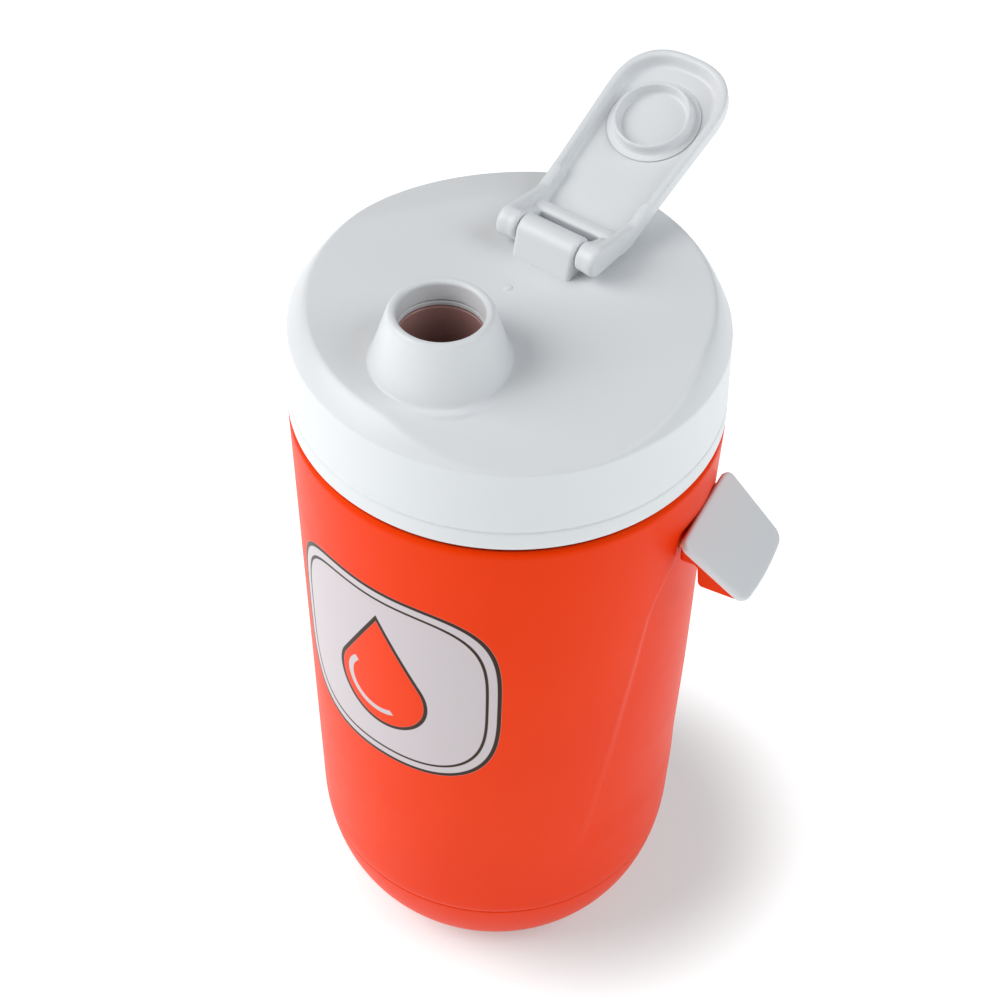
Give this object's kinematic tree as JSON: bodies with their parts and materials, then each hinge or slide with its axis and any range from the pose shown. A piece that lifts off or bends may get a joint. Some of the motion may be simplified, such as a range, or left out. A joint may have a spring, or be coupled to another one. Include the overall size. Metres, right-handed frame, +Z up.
{
  "type": "insulated jug",
  "caption": "Round insulated drinks jug with a screw lid, a drinking spout with a hinged flip cap, and a moulded hook high on its side.",
  "frame": {"origin": "centre of the jug's flat base, on the surface it stands on", "axes": "+Z up through the middle of the lid; -Y towards the spout; the cap's hinge lies behind the spout; the hook points 10.5 degrees from +X towards +Y"},
  "size_m": [0.1584, 0.163, 0.3006],
  "materials": {
    "orange_plastic": "satin moulded",
    "liner_plastic": "smooth moulded",
    "white_plastic": "satin moulded",
    "insulation_foam": "foamed in place",
    "seal_rubber": "moulded silicone",
    "screw_steel": "zinc plated",
    "insert_brass": "knurled"
  },
  "bodies": {
    "jug": {"outer_shell": "orange_plastic", "base_cup": "orange_plastic", "foam_fill_plug": "orange_plastic", "body_foam": "insulation_foam", "inner_liner": "liner_plastic", "hook_bracket": "orange_plastic", "hook_cover": "white_plastic", "hook_screw_1": "screw_steel", "hook_screw_2": "screw_steel", "hook_insert_1": "insert_brass", "hook_insert_2": "insert_brass"},
    "lid_seal": {"lid_gasket": "seal_rubber"},
    "lid": {"lid_shell": "white_plastic", "lid_foam": "insulation_foam", "lid_liner": "liner_plastic", "lid_fill_plug": "liner_plastic", "spout_seal": "seal_rubber", "hinge_block": "white_plastic", "hinge_pin": "white_plastic", "spout": "white_plastic"},
    "cap": {"flip_cap": "white_plastic", "cap_plug": "white_plastic"}
  },
  "joints": [
    {"name": "lid_lift", "type": "slide", "parent": "jug", "child": "lid_seal", "axis": [0, 0, 1], "range_m": [0, 0.0105]},
    {"name": "lid_turn", "type": "hinge", "parent": "lid_seal", "child": "lid", "pos_m": [0, 0, 0.2275], "axis": [0, 0, 1], "range_deg": [0, 540]},
    {"name": "cap_flip", "type": "hinge", "parent": "lid", "child": "cap", "pos_m": [0, 0.0205, 0.2745], "axis": [1, 0, 0], "range_deg": [0, 156.5]}
  ],
  "couplings": [
    {"joint": "lid_lift", "follows": "lid_turn", "m_per_rad": 0.0011141}
  ]
}
